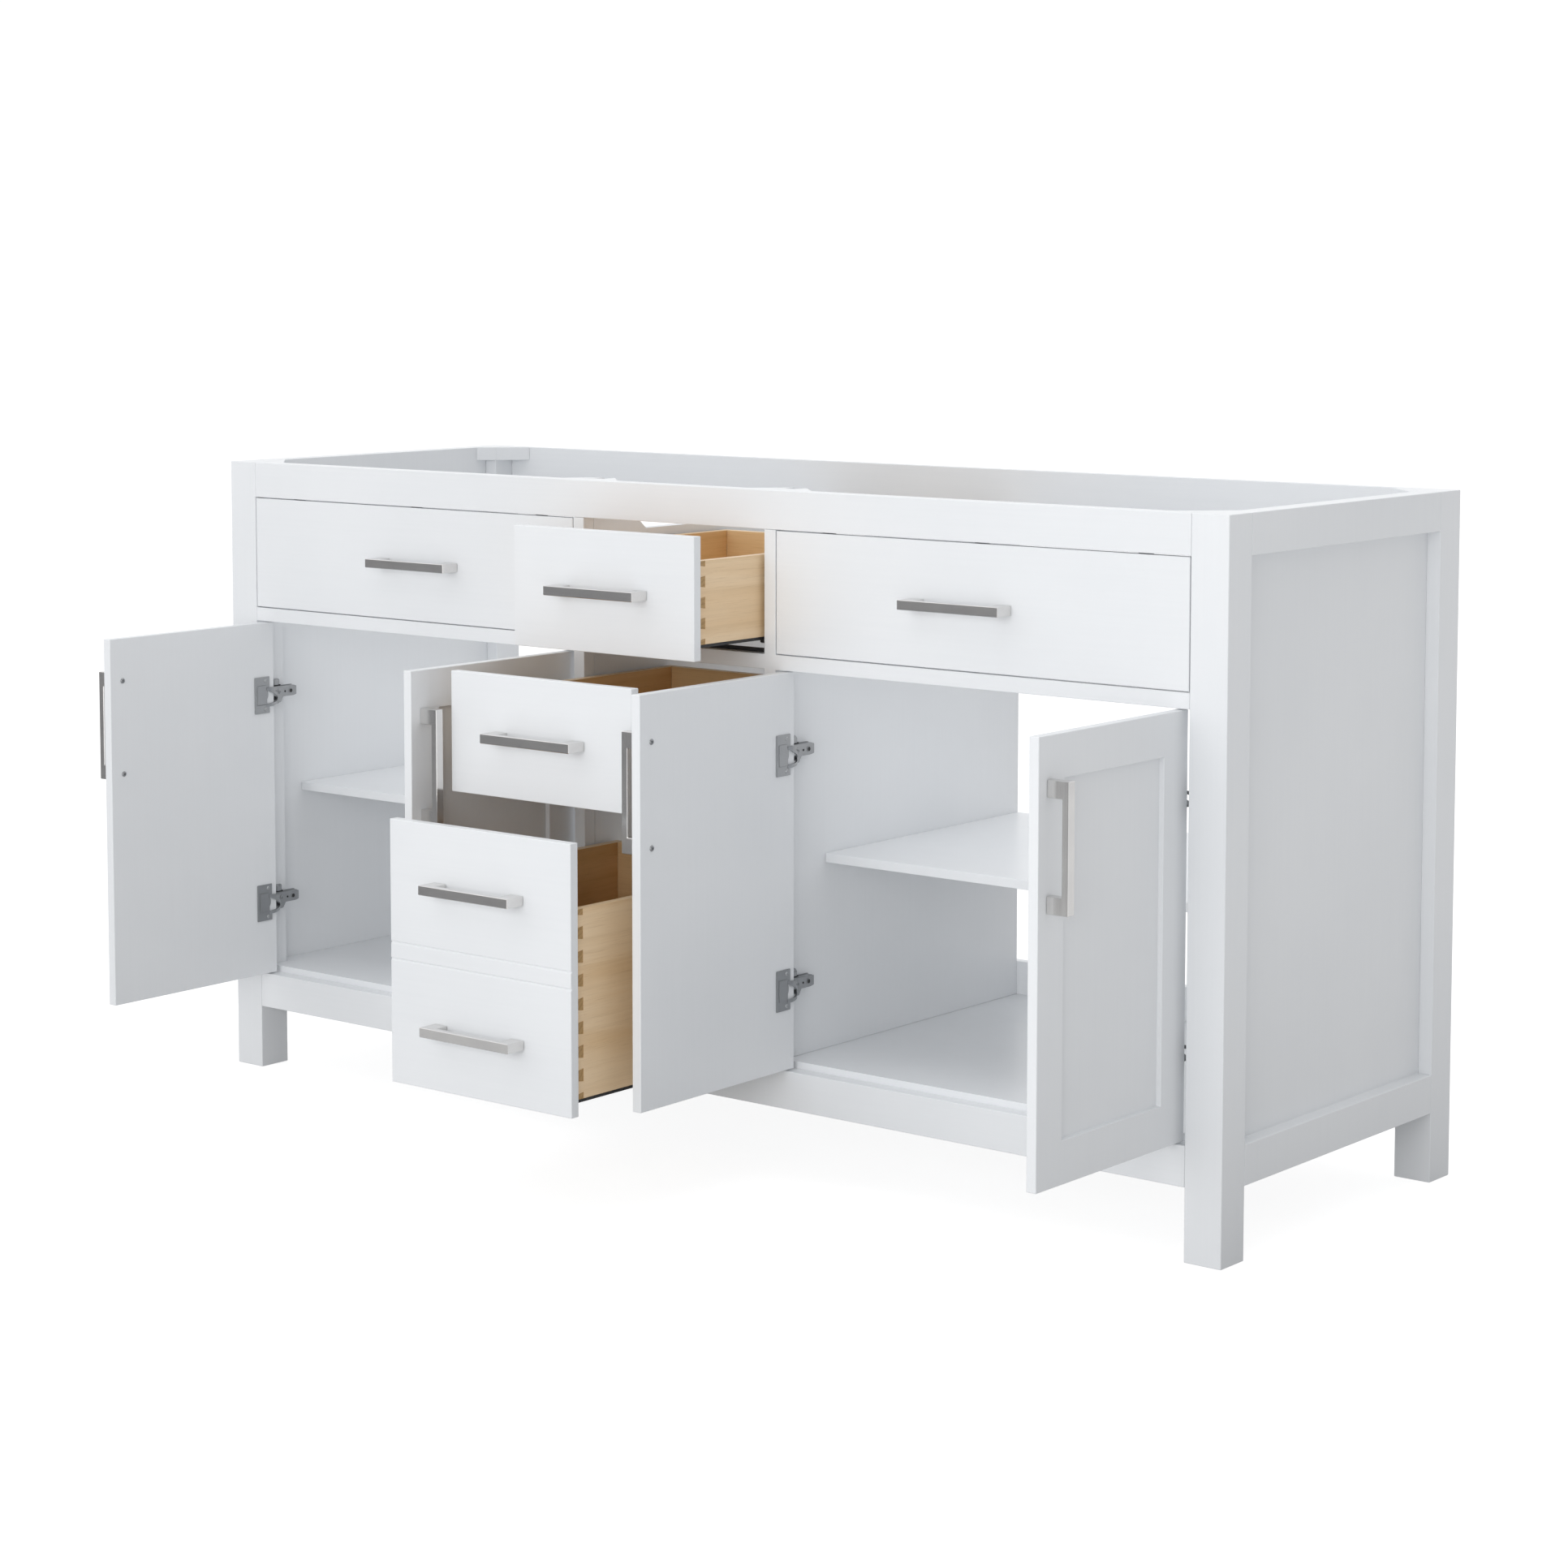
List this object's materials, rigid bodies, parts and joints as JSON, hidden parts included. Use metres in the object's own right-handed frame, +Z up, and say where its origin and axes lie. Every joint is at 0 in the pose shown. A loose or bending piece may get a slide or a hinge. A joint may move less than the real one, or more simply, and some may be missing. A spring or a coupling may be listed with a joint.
{
  "type": "bathroom vanity cabinet",
  "caption": "Bathroom vanity base on square legs: inset shaker doors on concealed hinges either side of pull-out dovetailed drawers, open at the top and back.",
  "frame": {"origin": "on the floor, at the middle of the whole outline with the doors open and the drawers pulled out as at rest; the carcass's front face is at y = -0.0775 m", "axes": "+X to the right for someone facing the cabinet, +Y back to the wall, +Z up"},
  "size_m": [1.651, 0.937, 0.87],
  "materials": {
    "white_lacquer": "cool white satin lacquer on wood",
    "birch": "clear-lacquered birch",
    "brushed_nickel": "brushed nickel",
    "hinge_steel": "nickel-plated pressed steel",
    "slide_steel": "black coated steel"
  },
  "bodies": {
    "cabinet": {"post_front_left": "white_lacquer", "post_front_right": "white_lacquer", "post_rear_left": "white_lacquer", "post_rear_right": "white_lacquer", "side_left": "white_lacquer", "side_right": "white_lacquer", "front_top_rail": "white_lacquer", "front_frame": "white_lacquer", "front_bottom_rail": "white_lacquer", "partition_left": "white_lacquer", "partition_right": "white_lacquer", "rear_top_rail": "white_lacquer", "rear_bottom_rail": "white_lacquer", "floor_panel": "white_lacquer", "shelf_left": "white_lacquer", "shelf_right": "white_lacquer", "false_front_left": "white_lacquer", "false_front_right": "white_lacquer", "handle_false_front_left": "brushed_nickel", "handle_false_front_right": "brushed_nickel", "hinge_left_outer_upper_arm": "hinge_steel", "hinge_left_outer_lower_arm": "hinge_steel", "hinge_left_inner_upper_arm": "hinge_steel", "hinge_left_inner_lower_arm": "hinge_steel", "hinge_right_inner_upper_arm": "hinge_steel", "hinge_right_inner_lower_arm": "hinge_steel", "hinge_right_outer_upper_arm": "hinge_steel", "hinge_right_outer_lower_arm": "hinge_steel", "slide_top_left": "slide_steel", "slide_top_right": "slide_steel", "slide_middle_left": "slide_steel", "slide_middle_right": "slide_steel", "slide_bottom_left": "slide_steel", "slide_bottom_right": "slide_steel"},
    "door_left_outer_body": {"door_left_outer": "white_lacquer", "handle_door_left_outer": "brushed_nickel", "hinge_left_outer_upper_cup": "hinge_steel", "hinge_left_outer_lower_cup": "hinge_steel"},
    "door_left_inner_body": {"door_left_inner": "white_lacquer", "handle_door_left_inner": "brushed_nickel", "hinge_left_inner_upper_cup": "hinge_steel", "hinge_left_inner_lower_cup": "hinge_steel"},
    "door_right_inner_body": {"door_right_inner": "white_lacquer", "handle_door_right_inner": "brushed_nickel", "hinge_right_inner_upper_cup": "hinge_steel", "hinge_right_inner_lower_cup": "hinge_steel"},
    "door_right_outer_body": {"door_right_outer": "white_lacquer", "handle_door_right_outer": "brushed_nickel", "hinge_right_outer_upper_cup": "hinge_steel", "hinge_right_outer_lower_cup": "hinge_steel"},
    "drawer_top_body": {"drawer_top_front": "white_lacquer", "drawer_top_box": "birch", "handle_drawer_top": "brushed_nickel"},
    "drawer_middle_body": {"drawer_middle_front": "white_lacquer", "drawer_middle_box": "birch", "handle_drawer_middle": "brushed_nickel"},
    "drawer_bottom_body": {"drawer_bottom_front": "white_lacquer", "drawer_bottom_box": "birch", "handle_drawer_bottom_upper": "brushed_nickel", "handle_drawer_bottom_lower": "brushed_nickel"}
  },
  "joints": [
    {"name": "door_left_outer_hinge", "type": "hinge", "parent": "cabinet", "child": "door_left_outer_body", "pos_m": [-0.765, -0.0755, 0.3918], "axis": [0, 0, -1], "range_deg": [-90, 15]},
    {"name": "door_left_inner_hinge", "type": "hinge", "parent": "cabinet", "child": "door_left_inner_body", "pos_m": [-0.18, -0.0755, 0.3918], "axis": [0, 0, 1], "range_deg": [-89, 1]},
    {"name": "door_right_inner_hinge", "type": "hinge", "parent": "cabinet", "child": "door_right_inner_body", "pos_m": [0.18, -0.0755, 0.3918], "axis": [0, 0, -1], "range_deg": [-89, 1]},
    {"name": "door_right_outer_hinge", "type": "hinge", "parent": "cabinet", "child": "door_right_outer_body", "pos_m": [0.765, -0.0755, 0.3918], "axis": [0, 0, 1], "range_deg": [-90, 15]},
    {"name": "drawer_top_slide", "type": "slide", "parent": "cabinet", "child": "drawer_top_body", "axis": [0, -1, 0], "range_m": [-0.1345, 0.2655]},
    {"name": "drawer_middle_slide", "type": "slide", "parent": "cabinet", "child": "drawer_middle_body", "axis": [0, -1, 0], "range_m": [-0.2515, 0.1485]},
    {"name": "drawer_bottom_slide", "type": "slide", "parent": "cabinet", "child": "drawer_bottom_body", "axis": [0, -1, 0], "range_m": [-0.362, 0.038]}
  ]
}
